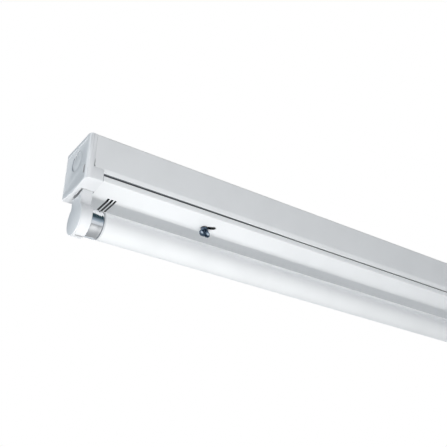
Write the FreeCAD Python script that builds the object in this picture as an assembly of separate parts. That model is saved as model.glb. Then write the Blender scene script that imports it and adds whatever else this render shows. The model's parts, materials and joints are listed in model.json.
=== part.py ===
import FreeCAD, Part
import math
import os

# White ceiling batten for one straight fluorescent tube. Millimetres, +Z up.
# The origin is the middle of the back, which lies on the ceiling. X runs along the tube,
# Z is 0 at the ceiling and the fixture hangs below it.

Vector = FreeCAD.Vector
ALONG = Vector(1, 0, 0)
ACROSS = Vector(0, 1, 0)
UP = Vector(0, 0, 1)
LOW_SIDE = -1
HIGH_SIDE = 1

# General
overrun = 5.0
running_clearance = 0.06
seat_clearance = 0.15

# Fluorescent tube, 26 mm across, with a two-pin cap at each end
tube_face_length = 589.8
tube_diameter = 26.0
ferrule_stand = 0.15
glass_wall = 0.8
glass_setback = 2.4
ferrule_length = 11.5
ferrule_wall = 0.3
insulator_thickness = 1.6
pin_diameter = 2.35
pin_spacing = 12.7
pin_reach = 7.1
stem_flare_thickness = 0.8
stem_neck_radius = 4.2
stem_end_radius = 2.6
stem_neck_depth = 16.0
stem_depth = 24.0
stem_pinch_half = 4.0
stem_sides = 12
cathode_wire = 0.7
cathode_coil = 1.5
cathode_half_span = 6.5
cathode_foot = 1.4
cathode_reach = 9.0
tube_drop = 73.8

# Lampholder that carries one end of the tube
tube_end_play = 0.3
holder_inset = 4.6
holder_thickness = 10.7
holder_radius = 15.2
holder_neck_width = 19.0
holder_back_thickness = 1.2
holder_back_top = 51.0
holder_front_thickness = 3.0
holder_chamber_radius = 11.6
holder_foot_top = 37.6
holder_duct_wall = 1.3
holder_groove_width = 16.6
holder_groove_clearance = 0.2
rotor_radius = 9.0
rotor_flange_radius = 10.4
rotor_flange_thickness = 0.95
rotor_slot_clearance = 0.15
entry_slot_width = 3.0
entry_slot_depth = 7.7
contact_thickness = 0.4
contact_gap = 0.25
contact_width = 3.1
contact_front = 7.5
contact_tail = 5.0
contact_shoulder = 3.5
contact_bend = 9.0
contact_top = 26.0
contact_upper_half = 5.6
contact_bend_radius = 1.0

# Spine, a folded steel channel open at the bottom
sheet = 0.6
spine_width = 53.6
spine_height = 37.4
spine_corner = 1.4
lip_height = 4.6
lip_inset = 1.2
lip_bend = 3.0
hem_width = 1.9
hem_rise = 3.4
hem_bend = 0.9

# Gear cover that closes the channel from below, with a shallow ridge down the middle
cover_gap = 1.4
cover_width = 51.2
cover_corner_drop = 44.3
cover_ridge_drop = 48.0
cover_upstand_inset = 0.4
cover_upstand_rise = 4.2
cover_bend = 0.8
cover_ridge_bend = 3.0
cover_setback = 2.4
cover_notch_clearance = 0.1

# Moulded end cap
cap_wall = 1.6
cap_side_wall = 1.0
cap_top_wall = 1.4
cap_skirt = 6.6
cap_foot = 16.3
cap_shoulder_drop = 33.5
cap_corner_drop = 46.0
cap_ridge_drop = 49.3
cap_upright_round = 4.5
cap_bottom_round = 1.6
cap_top_round = 1.0
cap_gap = 0.15
cap_opening_start = 4.6
cap_opening_width = 20.0
cap_tongue_length = 11.5
cap_tongue_thickness = 1.7
cap_tongue_top = 6.0
cap_tongue_bottom = 30.0
cap_top_tongue_width = 32.0
panel_margin = 3.6
panel_depth = 0.45
panel_round = 3.0
release_slot_width = 3.2
release_slot_height = 8.4
release_slot_offset = 19.7
release_slot_top = 30.3

# Ceiling fixings and cable entry in the back of the spine
fixing_spacing = 400.0
fixing_slot_width = 5.2
fixing_slot_length = 12.0
entry_from_block = 37.0
entry_hole_diameter = 20.0
grommet_bore = 9.0
grommet_flange = 2.4
grommet_flange_thickness = 1.5

# Quarter-turn wing fasteners that hold the gear cover
fastener_spacing = 356.0
fastener_offset = 7.6
fastener_shaft_radius = 2.2
fastener_hub_radius = 3.4
fastener_hub_height = 2.2
wing_span = 5.5
wing_drop = 8.6
wing_thickness = 1.3
wing_root = 0.2
wing_parting = 0.4
wing_round = 2.4
bush_radius = 3.6
bush_thickness = 1.2
cover_hole_clearance = 0.4
catch_reach = 5.0
catch_width = 2.2
catch_height = 2.2
catch_clearance = 0.1
bracket_sheet = 1.0
bracket_lift = 4.6
bracket_width = 18.0
bracket_outer = 19.5
bracket_inner = -1.0
bracket_foot = 5.5
bracket_slot_clearance = 0.35
cover_slot_width = 5.0
cover_slot_reach = 8.8
cover_slot_angle = 22.0

# Electronic ballast on its raised plate
plate_sheet = 0.8
plate_rise = 3.5
plate_width = 27.0
plate_taper = 1.0
plate_foot = 3.5
plate_margin = 8.0
plate_end_margin = 3.0
ballast_from_bracket = 18.0
ballast_length = 150.0
ballast_width = 30.0
ballast_height = 21.0
ballast_round = 1.5
ballast_sheet = 0.6
ballast_lug = 9.0
ballast_lug_width = 16.0
ballast_lug_thickness = 1.0
ballast_lug_hole = 4.4
ballast_port_width = 22.0
ballast_port_height = 10.0
ballast_port_depth = 9.0
ballast_port_gap = 0.1
ballast_port_holes = 4
port_hole_width = 2.2
port_hole_depth = 6.0
board_thickness = 1.6
board_lift = 3.0
board_margin = 1.2
post_width = 3.0
choke_length = 26.0
choke_width = 22.0
choke_height = 12.0
choke_share = 0.40
capacitor_radius = 5.0
capacitor_length = 20.0
capacitor_share = 0.69
filter_length = 13.0
filter_share = 0.14
filter_height = 10.0
screw_radius = 1.9
screw_head_flat = 7.0
screw_head_height = 2.2
screw_length = 4.0
screw_sides = 8
hexagon_sides = 6

# Three-pole terminal block
block_from_ballast = 21.0
block_length = 18.0
block_pitch = 9.6
block_poles = 3
block_height = 12.0
block_shoulder = 8.5
block_ridge_half = 5.0
block_lever_half = 2.6
block_lever_rise = 1.4
block_wire_lift = 5.6

# Earth stud on the spine
earth_from_entry = 37.0
earth_y = -12.0
earth_stud_radius = 2.0
earth_stud_length = 12.0
earth_nut_flat = 7.0
earth_nut_height = 3.2
earth_ring_radius = 4.2
earth_ring_sides = 8
earth_ring_thickness = 0.8
earth_ring_tail = 9.0
earth_ring_tail_width = 3.4

# Inner wiring
wire_diameter = 1.8
wire_sides = 6
bend_share = 0.3
clip_places = (-217.0, -135.0, -25.0, 95.0)
clip_width = 7.0
clip_wall = 0.9
clip_depth = 5.4
clip_rise = 2.7
lead_row_y = 20.9
lead_pitch = 2.1
lead_row_drop = 8.0
lead_turn = 5.0
neck_lead_rise = 5.4
left_spread_inset = 32.6
left_row_inset = 65.2
right_spread_inset = 48.9
right_straight_margin = 18.0
supply_first_share = 0.25
supply_last_share = 0.33
earth_lead_clearance = 9.0
earth_lead_landing = 7.2
earth_lead_drop = 3.6

# Sizes that follow from the ones above
holder_front = holder_inset + holder_thickness
fixture_length = tube_face_length + 2 * (tube_end_play + holder_front)
half_length = fixture_length / 2
tube_z = -tube_drop
spine_half = spine_width / 2
cover_half = cover_width / 2
pin_radius = pin_diameter / 2
pin_circle = pin_spacing / 2 + pin_radius
bracket_face = fastener_spacing / 2 - bracket_width / 2
ballast_start = bracket_face - ballast_from_bracket - ballast_lug - ballast_length
ballast_end = ballast_start + ballast_length
block_x = ballast_start - block_from_ballast - block_length / 2
entry_x = block_x - entry_from_block
earth_x = entry_x - earth_from_entry
plate_start = block_x - block_length / 2 - plate_margin
plate_end = ballast_end + ballast_lug + plate_end_margin
cover_shoulder_drop = spine_height + cover_gap
cover_slope = (cover_ridge_drop - cover_corner_drop) / cover_half
cover_tilt = math.degrees(math.atan(cover_slope))
mouth_half = spine_half - lip_inset - hem_width
upstand_half = mouth_half - cover_upstand_inset
wire_radius = wire_diameter / 2
duct_half = contact_upper_half + contact_thickness


def end_x(inset):
    """X of a place that lies a given distance in from the left end of the fixture."""
    return inset - half_length


def section(y, z):
    """A point of a cross-section in the Y-Z plane."""
    return Vector(0, y, z)


def corner_arc(before, corner, after, radius):
    """Start, middle and end of the tangent arc that rounds one corner."""
    back = (before - corner).normalize()
    ahead = (after - corner).normalize()
    half_turn = (math.pi - back.getAngle(ahead)) / 2
    cut = radius * math.tan(half_turn)
    inward = (back + ahead).normalize()
    middle = corner + inward * (radius / math.cos(half_turn) - radius)
    return corner + back * cut, middle, corner + ahead * cut


def open_edges(points, radii):
    """Straight runs joined by tangent arcs. A radius of 0 leaves its corner sharp."""
    edges = []
    here = points[0]
    for before, corner, after, radius in zip(points, points[1:], points[2:], radii):
        if radius <= 0:
            edges.append(Part.makeLine(here, corner))
            here = corner
            continue
        start, middle, end = corner_arc(before, corner, after, radius)
        edges.append(Part.makeLine(here, start))
        edges.append(Part.Arc(start, middle, end).toShape())
        here = end
    edges.append(Part.makeLine(here, points[-1]))
    return edges


def closed_face(points, radii):
    """Flat face with rounded corners. Its first corner always stays sharp."""
    return Part.Face(Part.Wire(open_edges(points + points[:1], radii[1:])))


def sheet_face(points, radii, thickness):
    """Section of a folded sheet: the points follow one face, and the metal lies to their left.
    A bend of radius 0 is drawn sharp on both faces."""
    normals = []
    for here, after in zip(points, points[1:]):
        run = (after - here).normalize()
        normals.append(section(-run.z, run.y))
    other = [points[0] + normals[0] * thickness]
    other_radii = []
    for corner, radius, first, second in zip(points[1:], radii, normals, normals[1:]):
        other.append(corner + (first + second) * (thickness / (1 + first.dot(second))))
        turns_left = first.cross(second).x > 0
        bend = thickness if radius else 0
        other_radii.append(radius - bend if turns_left else radius + bend)
    other.append(points[-1] + normals[-1] * thickness)
    near = open_edges(points, radii)
    far = open_edges(other[::-1], other_radii[::-1])
    ends = [Part.makeLine(points[-1], other[-1]), Part.makeLine(other[0], points[0])]
    return Part.Face(Part.Wire(near + ends[:1] + far + ends[1:]))


def mirrored(points):
    """An outline that starts on the +Y side, completed by its mirror image."""
    return points + [section(-p.y, p.z) for p in reversed(points)]


def along_x(face, start, end):
    """Extrudes a cross-section between two places along the fixture."""
    moved = face.copy()
    moved.translate(ALONG * start)
    return moved.extrude(ALONG * (end - start))


def block(x0, x1, y0, y1, z0, z1):
    """Box between two corners."""
    return Part.makeBox(x1 - x0, y1 - y0, z1 - z0, Vector(x0, y0, z0))


def rod(radius, base, way, length):
    """Round bar from a point, along a direction."""
    return Part.makeCylinder(radius, length, base, way)


def tube(outer, inner, base, way):
    """Round collar drawn from its base along a vector."""
    return rod(outer, base, way, way.Length).cut(rod(inner, base, way, way.Length))


def turned(profile, centre_z):
    """Solid of revolution about a line along X. The profile holds (x, radius) pairs."""
    points = [Vector(x, 0, centre_z + r) for x, r in profile]
    face = closed_face(points, [0] * len(points))
    return face.revolve(Vector(0, 0, centre_z), ALONG, 360)


def slot_prism(centre, half_run, radius, way, depth):
    """Round-ended slot along X, as a solid to cut with."""
    side = way.cross(ALONG).normalize() * radius
    run = ALONG * half_run
    tip = ALONG * (half_run + radius)
    a, b = centre + run + side, centre + run - side
    c, d = centre - run - side, centre - run + side
    edges = [Part.Arc(a, centre + tip, b).toShape(), Part.makeLine(b, c),
             Part.Arc(c, centre - tip, d).toShape(), Part.makeLine(d, a)]
    return Part.Face(Part.Wire(edges)).extrude(way * depth)


def other_end(shape):
    """The same piece at the other end of the fixture, turned half round."""
    turned_piece = shape.copy()
    turned_piece.rotate(Vector(0, 0, 0), UP, 180)
    return turned_piece


def at_other_end(shape):
    """Mirror image for what faces the same way at both ends, such as a lead."""
    return shape.mirror(Vector(0, 0, 0), ALONG)


def lead(points):
    """Insulated wire with flat sides, mitred at both ends of every bend."""
    path = points[:1]
    for before, corner, after in zip(points, points[1:], points[2:]):
        shorter = min((corner - before).Length, (after - corner).Length) * bend_share
        path.append(corner + (before - corner).normalize() * shorter)
        path.append(corner + (after - corner).normalize() * shorter)
    path.append(points[-1])
    ways = [(after - here).normalize() for here, after in zip(path, path[1:])]
    side = square_to(ways[0]) * wire_radius
    other = ways[0].cross(side)
    turns = [2 * math.pi * i / wire_sides for i in range(wire_sides)]
    ring = [path[0] + side * math.cos(t) + other * math.sin(t) for t in turns]
    rings = [ring]
    for way, following, corner in zip(ways, ways[1:] + ways[-1:], path[1:]):
        mitre = (way + following).normalize()
        ring = [p + way * ((corner - p).dot(mitre) / way.dot(mitre)) for p in ring]
        rings.append(ring)
    faces = [flat(rings[0]), flat(rings[-1])]
    for near, far in zip(rings, rings[1:]):
        for i in range(wire_sides):
            faces.append(flat([near[i - 1], near[i], far[i], far[i - 1]]))
    return Part.Solid(Part.Shell(faces))


def square_to(way):
    """Unit vector across a direction: level where the direction isn't upright itself."""
    upright = Vector(way.x, way.y, 0).Length < abs(way.z)
    return way.cross(ALONG if upright else UP).normalize()


def flat(corners):
    """Plain polygon."""
    return Part.Face(Part.makePolygon(corners + corners[:1]))


def flat_sided(radius, sides, base, way):
    """Straight bar with flat sides, drawn from its base along a vector."""
    across = square_to(way) * radius
    upright = across.cross(way).normalize() * radius
    turns = [2 * math.pi * (i + 0.5) / sides for i in range(sides)]
    return flat([base + across * math.cos(t) + upright * math.sin(t) for t in turns]).extrude(way)


# Spine


def spine_section():
    """The channel: lips drawn in at the foot of each side and hemmed back inside."""
    lip_top = lip_height - spine_height
    points = [section(mouth_half, hem_rise - spine_height),
              section(mouth_half, -spine_height),
              section(spine_half - lip_inset, -spine_height),
              section(spine_half, lip_top),
              section(spine_half, 0)]
    radii = [hem_bend, hem_bend, lip_bend, spine_corner]
    return sheet_face(mirrored(points), radii + radii[::-1], sheet)


def spine():
    body = along_x(spine_section(), end_x(cap_skirt + cap_gap), -end_x(cap_skirt + cap_gap))
    cuts = [rod(entry_hole_diameter / 2, Vector(entry_x, 0, overrun), -UP, 2 * overrun)]
    run = (fixing_slot_length - fixing_slot_width) / 2
    for side in (LOW_SIDE, HIGH_SIDE):
        centre = Vector(side * fixing_spacing / 2, 0, overrun)
        cuts.append(slot_prism(centre, run, fixing_slot_width / 2, -UP, 2 * overrun))
    foot = block(end_x(0), end_x(cap_foot + cap_gap), -spine_width, spine_width,
                 -2 * spine_height, -cap_shoulder_drop + cap_gap)
    cuts += [foot, other_end(foot)]
    return body.cut(Part.makeCompound(cuts))


def grommet():
    """Rubber cable bush, pressed into the entry from inside and flush with the ceiling."""
    bore = grommet_bore / 2
    hole = entry_hole_diameter / 2 - seat_clearance
    flange = entry_hole_diameter / 2 + grommet_flange
    foot = -sheet - grommet_flange_thickness
    outline = [Vector(bore, 0, 0), Vector(hole, 0, 0), Vector(hole, 0, -sheet),
               Vector(flange, 0, -sheet), Vector(flange, 0, foot), Vector(bore, 0, foot)]
    body = closed_face(outline, [0] * len(outline)).revolve(Vector(0, 0, 0), UP, 360)
    body.translate(ALONG * entry_x)
    return body


# Gear cover and its fasteners


def cover_section():
    points = [section(-upstand_half, cover_upstand_rise - cover_shoulder_drop),
              section(-upstand_half, -cover_shoulder_drop),
              section(-cover_half, -cover_shoulder_drop),
              section(-cover_half, -cover_corner_drop),
              section(0, -cover_ridge_drop)]
    right = [section(-p.y, p.z) for p in reversed(points[:-1])]
    radii = [0, cover_bend, cover_bend]
    return sheet_face(points + right, radii + [cover_ridge_bend] + radii[::-1], sheet)


def seated(shape, side):
    """Carries a fastener piece from its own axis to its seat on the near face of the cover."""
    placed = shape.copy()
    placed.rotate(Vector(0, 0, 0), ALONG, -cover_tilt)
    seat_z = cover_slope * fastener_offset - cover_ridge_drop
    placed.translate(Vector(side * fastener_spacing / 2, -fastener_offset, seat_z))
    return placed


def cover_slot():
    """Hole for the shaft, with the one-sided slot that lets the catch through on assembly."""
    half = cover_slot_width / 2
    hole = rod(fastener_shaft_radius + cover_hole_clearance, -UP * overrun, UP, 2 * overrun)
    arm = block(0, cover_slot_reach, -half, half, -overrun, overrun)
    tip = rod(half, ALONG * cover_slot_reach - UP * overrun, UP, 2 * overrun)
    shape = hole.fuse([arm, tip])
    shape.rotate(Vector(0, 0, 0), UP, -cover_slot_angle)
    return shape


def gear_cover():
    body = along_x(cover_section(), end_x(cover_setback), -end_x(cover_setback))
    notch_half = holder_groove_width / 2 + cover_notch_clearance
    notch = block(end_x(0), end_x(holder_front + cover_notch_clearance), -notch_half, notch_half,
                  -2 * cover_ridge_drop, 0)
    cuts = [notch, other_end(notch)] + [seated(cover_slot(), side) for side in (LOW_SIDE, HIGH_SIDE)]
    return body.cut(Part.makeCompound(cuts))


def fastener_bush():
    """Black collar between the turning fastener and the cover sheet."""
    return tube(bush_radius, fastener_shaft_radius + running_clearance,
                -UP * bush_thickness, UP * bush_thickness)


def wing():
    """One ear of the fastener, a rounded plate that widens away from the hub."""
    top = -bush_thickness - fastener_hub_height / 2
    foot = -bush_thickness - wing_drop
    points = [Vector(wing_root, 0, top), Vector(fastener_hub_radius, 0, top),
              Vector(wing_span, 0, foot / 2), Vector(wing_span, 0, foot),
              Vector(wing_parting, 0, foot),
              Vector(wing_root, 0, top - fastener_hub_height)]
    plate = closed_face(points, [0, 0, wing_round / 2, wing_round, 0, 0])
    plate.translate(ACROSS * (-wing_thickness / 2))
    return plate.extrude(ACROSS * wing_thickness)


def wing_fastener():
    """Hub, two wings, shaft and the one-sided catch that swings over the bracket."""
    catch_foot = bracket_lift + catch_clearance
    foot = -bush_thickness - running_clearance - fastener_hub_height
    shaft = rod(fastener_shaft_radius, UP * foot, UP, catch_foot + catch_height - foot)
    hub = rod(fastener_hub_radius, UP * foot, UP, fastener_hub_height)
    catch = block(-catch_width / 2, catch_width / 2, 0, catch_reach,
                  catch_foot, catch_foot + catch_height)
    right = wing()
    left = right.mirror(Vector(0, 0, 0), ALONG)
    return shaft.fuse([hub, catch, right, left]).removeSplitter()


def bracket():
    """Steel strap under the back of the spine, and the slot in it that passes the catch."""
    def strap_z(y):
        lift = bracket_lift / math.cos(math.radians(cover_tilt))
        return -cover_ridge_drop - cover_slope * y + lift

    outer = -bracket_outer
    inner = bracket_inner
    points = [section(inner + bracket_foot, -sheet), section(inner, -sheet),
              section(inner, strap_z(inner)), section(outer, strap_z(outer)),
              section(outer, -sheet), section(outer - bracket_foot, -sheet)]
    face = sheet_face(points, [0] * len(points), bracket_sheet)
    body = along_x(face, -bracket_width / 2, bracket_width / 2)
    half = fastener_shaft_radius + bracket_slot_clearance
    reach = catch_reach + bracket_slot_clearance
    return body, block(-reach, reach, -half, half, 0, 2 * bracket_lift)


def brackets():
    body, opening = bracket()
    pieces = []
    for side in (LOW_SIDE, HIGH_SIDE):
        strap = body.copy()
        strap.translate(ALONG * (side * fastener_spacing / 2))
        pieces.append(strap.cut(seated(opening, side)))
    return Part.makeCompound(pieces)


# End caps


def cap_block():
    """Outer form of the cap: upright edges rounded widely, the long edges softly."""
    points = [section(spine_half, -cap_corner_drop), section(spine_half, 0),
              section(-spine_half, 0), section(-spine_half, -cap_corner_drop)]
    rounds = [cap_bottom_round, cap_top_round, cap_top_round, cap_bottom_round]
    outline = closed_face([section(0, -cap_ridge_drop)] + points, [0] + rounds)
    body = along_x(outline, end_x(0), end_x(cap_foot))
    plan = [Vector(end_x(cap_foot + overrun), -spine_half, 0),
            Vector(end_x(0), -spine_half, 0),
            Vector(end_x(0), spine_half, 0),
            Vector(end_x(cap_foot + overrun), spine_half, 0)]
    cutter = closed_face(plan, [0, cap_upright_round, cap_upright_round, 0])
    cutter.translate(-UP * 2 * cap_ridge_drop)
    return body.common(cutter.extrude(UP * 4 * cap_ridge_drop))


def cap_cavity():
    side = spine_half - cap_side_wall
    floor = cover_ridge_drop + cap_gap
    points = mirrored([section(side, -cap_top_wall), section(side, cover_slope * side - floor)])
    points.insert(2, section(0, -floor))
    face = closed_face(points, [0] * len(points))
    return along_x(face, end_x(cap_wall), end_x(cap_foot + overrun))


def cap_relief():
    """What the mould leaves on the end face: a sunk panel and a slot for the release tool."""
    side = spine_half - panel_margin
    rise = panel_margin - cap_ridge_drop
    points = [section(side, cover_slope * side + rise), section(side, -panel_margin),
              section(-side, -panel_margin), section(-side, cover_slope * side + rise)]
    outline = closed_face([section(0, rise)] + points, [0] + [panel_round] * len(points))
    panel = along_x(outline, end_x(-overrun), end_x(panel_depth))
    slot_half = release_slot_width / 2
    slot = block(end_x(-overrun), end_x(cap_wall + overrun / 2), -release_slot_offset - slot_half,
                 -release_slot_offset + slot_half, -release_slot_top - release_slot_height,
                 -release_slot_top)
    return [panel, slot]


def cap_tongues():
    """Flat tongues that slide into the channel and hold the cap on."""
    start = end_x(cap_wall - seat_clearance)
    end = end_x(cap_skirt + cap_tongue_length)
    outer = spine_half - sheet - seat_clearance
    inner = outer - cap_tongue_thickness
    sides = [block(start, end, min(side * inner, side * outer), max(side * inner, side * outer),
                   -cap_tongue_bottom, -cap_tongue_top) for side in (LOW_SIDE, HIGH_SIDE)]
    roots = [block(start, end_x(cap_skirt), min(side * outer, side * spine_edge()),
                   max(side * outer, side * spine_edge()),
                   -cap_tongue_bottom, -cap_tongue_top) for side in (LOW_SIDE, HIGH_SIDE)]
    top = block(start, end, -cap_top_tongue_width / 2, cap_top_tongue_width / 2,
                -sheet - seat_clearance - cap_tongue_thickness, -sheet - seat_clearance)
    return sides + roots + [top]


def spine_edge():
    """Half width that reaches into the cap's side wall, to root its tongues."""
    return spine_half - cap_side_wall / 2


def end_cap():
    body = cap_block().cut(cap_cavity())
    upper = block(end_x(cap_skirt), end_x(cap_foot + overrun), -spine_width, spine_width,
                  -cap_shoulder_drop, overrun)
    opening = block(end_x(cap_opening_start), end_x(cap_foot + overrun), -cap_opening_width / 2,
                    cap_opening_width / 2, -2 * cap_ridge_drop, -cap_shoulder_drop - lip_height)
    body = body.cut(Part.makeCompound([upper, opening] + cap_relief()))
    return body.fuse(cap_tongues()).removeSplitter()


# Lampholders


def holder_outline(top_drop):
    """Round head with a parallel neck that rises to the given place below the ceiling."""
    half = holder_neck_width / 2
    rise = math.sqrt(holder_radius ** 2 - half ** 2)
    right = section(half, tube_z + rise)
    left = section(-half, tube_z + rise)
    edges = [Part.Arc(left, section(0, tube_z - holder_radius), right).toShape(),
             Part.makeLine(right, section(half, -top_drop)),
             Part.makeLine(section(half, -top_drop), section(-half, -top_drop)),
             Part.makeLine(section(-half, -top_drop), left)]
    return Part.Face(Part.Wire(edges))


def neck_grooves():
    """Side grooves that slide over the edges of the notch in the gear cover."""
    reach = holder_neck_width
    drop = cover_ridge_drop + holder_groove_clearance
    points = [section(-reach, cover_slope * reach - drop), section(0, -drop),
              section(reach, cover_slope * reach - drop)]
    face = sheet_face(points, [0], sheet + 2 * holder_groove_clearance)
    band = along_x(face, end_x(0), end_x(holder_front + overrun))
    core = block(end_x(0), end_x(holder_front + overrun), -holder_groove_width / 2,
                 holder_groove_width / 2, -2 * cover_ridge_drop, 0)
    return band.cut(core)


def lampholder_body():
    back = holder_inset + holder_back_thickness
    front_wall = holder_front - holder_front_thickness
    body = along_x(holder_outline(holder_foot_top), end_x(back), end_x(holder_front))
    axis = Vector(end_x(back - overrun), 0, tube_z)
    chamber = rod(holder_chamber_radius, axis, ALONG, front_wall - back + overrun)
    bore = rod(rotor_radius + running_clearance, axis, ALONG, holder_thickness + 2 * overrun)
    duct_low = block(end_x(back - overrun), end_x(front_wall), -duct_half, duct_half,
                     tube_z, -holder_back_top)
    duct_high = block(end_x(back + holder_duct_wall), end_x(front_wall), -duct_half, duct_half,
                      tube_z, overrun - holder_foot_top)
    half = entry_slot_width / 2
    slot = block(end_x(holder_front - entry_slot_depth), end_x(holder_front + overrun),
                 -half, half, tube_z - holder_radius - overrun, tube_z)
    cuts = [chamber, bore, duct_low, duct_high, slot, neck_grooves()]
    return body.cut(Part.makeCompound(cuts))


def lampholder_back():
    """Flat lid behind the head, which closes the contact chamber."""
    face = holder_outline(holder_back_top)
    return along_x(face, end_x(holder_inset), end_x(holder_inset + holder_back_thickness))


def rotor(side):
    """Turning drum with the slot that carries both pins. Its open end faces -Y at rest."""
    wall_back = holder_front - holder_front_thickness - seat_clearance
    axis = Vector(end_x(wall_back), 0, tube_z)
    drum = rod(rotor_radius, axis, ALONG, holder_front - wall_back)
    flange_axis = Vector(end_x(wall_back - rotor_flange_thickness), 0, tube_z)
    flange = rod(rotor_flange_radius, flange_axis, ALONG, rotor_flange_thickness)
    half = pin_radius + rotor_slot_clearance
    start = flange_axis - ALONG * overrun
    closed_end = rod(half, start + ACROSS * (pin_spacing / 2), ALONG, holder_thickness + overrun)
    channel = block(start.x, start.x + holder_thickness + overrun,
                    -rotor_flange_radius - overrun, pin_spacing / 2, tube_z - half, tube_z + half)
    body = drum.fuse(flange).cut(closed_end.fuse(channel))
    if side == HIGH_SIDE:
        body = at_other_end(body)
    return body


def contacts():
    """Pair of spring blades, one each side of the pins, that rise into the neck."""
    reach = pin_circle + contact_gap
    points = [section(reach, tube_z - contact_tail),
              section(reach, tube_z + contact_shoulder),
              section(contact_upper_half, tube_z + contact_bend),
              section(contact_upper_half, tube_z + contact_top)]
    face = sheet_face(points[::-1], [contact_bend_radius] * 2, contact_thickness)
    blade = along_x(face, end_x(contact_front), end_x(contact_front + contact_width))
    return Part.makeCompound([blade, blade.mirror(Vector(0, 0, 0), ACROSS)])


# Fluorescent tube


def tube_glass():
    """The long glass, stepped in a little at each end to go inside its metal cap."""
    wide = tube_diameter / 2 - ferrule_stand
    neck = tube_diameter / 2 - ferrule_wall - seat_clearance
    bore = neck - glass_wall
    end = tube_face_length / 2 - glass_setback
    edge = tube_face_length / 2 - ferrule_length
    profile = [(-end, bore), (-end, neck), (-edge, neck), (-edge, wide), (edge, wide),
               (edge, neck), (end, neck), (end, bore)]
    return turned(profile, tube_z)


def tube_face():
    """Middle of the tube's end face."""
    return Vector(-tube_face_length / 2, 0, tube_z)


def ferrule():
    """Drawn metal band round the end of the tube."""
    outer = tube_diameter / 2
    return tube(outer, outer - ferrule_wall, tube_face(), ALONG * ferrule_length)


def pin_insulator():
    """Disc of insulating board that closes the metal band."""
    radius = tube_diameter / 2 - ferrule_wall - seat_clearance
    return rod(radius, tube_face(), ALONG, insulator_thickness)


def pins():
    """The two pins, riveted to the face of the insulating disc."""
    return Part.makeCompound([rod(pin_radius, tube_face() + ACROSS * (side * pin_spacing / 2),
                                  -ALONG, pin_reach) for side in (LOW_SIDE, HIGH_SIDE)])


def glass_stem():
    """Inner glass that closes the end of the tube: a flare, a neck and the flat pinch."""
    start = tube_face().x + glass_setback
    rim = tube_diameter / 2 - ferrule_wall - 2 * seat_clearance - glass_wall
    flare = flat_sided(rim, stem_sides, Vector(start, 0, tube_z), ALONG * stem_flare_thickness)
    neck = flat_sided(stem_neck_radius, stem_sides, Vector(start, 0, tube_z),
                      ALONG * stem_neck_depth)
    pinch = block(start, start + stem_depth, -stem_pinch_half, stem_pinch_half,
                  tube_z - stem_end_radius / 2, tube_z + stem_end_radius / 2)
    return neck.fuse([flare, pinch])


def cathode():
    """Two support wires that spread from the pinch, and the coil between them."""
    start = tube_face().x + glass_setback + stem_depth
    tip = start + cathode_reach
    half = cathode_half_span
    outer = [Vector(start, -cathode_foot, tube_z), Vector(tip, -half, tube_z),
             Vector(tip, -half - cathode_wire, tube_z),
             Vector(start, -cathode_foot - cathode_wire, tube_z)]
    support = flat(outer).extrude(UP * cathode_wire)
    support.translate(-UP * (cathode_wire / 2))
    coil = flat_sided(cathode_coil / 2, stem_sides, Vector(tip, -half - cathode_wire, tube_z),
                      ACROSS * 2 * (half + cathode_wire))
    return coil.fuse([support, support.mirror(Vector(0, 0, 0), ACROSS)])


# Ballast, terminals and wiring


def gear_plate():
    """Shallow bridge that lifts the gear clear of the back, so that no screw end shows there."""
    half = plate_width / 2
    deck = -sheet - plate_rise
    wide = half + plate_taper
    points = mirrored([section(wide + plate_foot, -sheet), section(wide, -sheet),
                       section(half, deck)])
    face = sheet_face(points, [0] * len(points), plate_sheet)
    body = along_x(face, plate_start, plate_end)
    return body.cut([rod(screw_radius, Vector(x, 0, 0), -UP, 2 * plate_rise + overrun)
                     for x in ballast_screw_places()])


def deck_z():
    """Underside of the raised plate, where the gear sits."""
    return -sheet - plate_rise - plate_sheet


def ballast_screw_places():
    return (ballast_start - ballast_lug / 2, ballast_end + ballast_lug / 2)


def ballast_case():
    """Closed metal case with a slotted lug at each end and a pocket for each terminal row."""
    half = ballast_width / 2
    top = deck_z()
    foot = top - ballast_height
    points = mirrored([section(half, top), section(half, foot)])
    face = closed_face(points, [0, ballast_round, ballast_round, 0])
    end = ballast_end
    body = along_x(face, ballast_start, end)
    inside = block(ballast_start + ballast_sheet, end - ballast_sheet, ballast_sheet - half,
                   half - ballast_sheet, foot + ballast_sheet, top - ballast_sheet)
    lug = block(ballast_start - ballast_lug, end + ballast_lug, -ballast_lug_width / 2,
                ballast_lug_width / 2, top - ballast_lug_thickness, top)
    pockets = [block(x0, x1, -ballast_port_width / 2 - ballast_port_gap,
                     ballast_port_width / 2 + ballast_port_gap, foot + port_base(),
                     foot + port_base() + ballast_port_height + ballast_port_gap)
               for x0, x1 in ((ballast_start - overrun, ballast_start + ballast_port_depth),
                              (end - ballast_port_depth, end + overrun))]
    slots = [slot_prism(Vector(x + side * ballast_lug, 0, top - overrun), ballast_lug,
                        ballast_lug_hole / 2, UP, 2 * overrun)
             for x, side in zip(ballast_screw_places(), (LOW_SIDE, HIGH_SIDE))]
    return body.fuse(lug).cut([inside] + pockets + slots)


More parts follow.
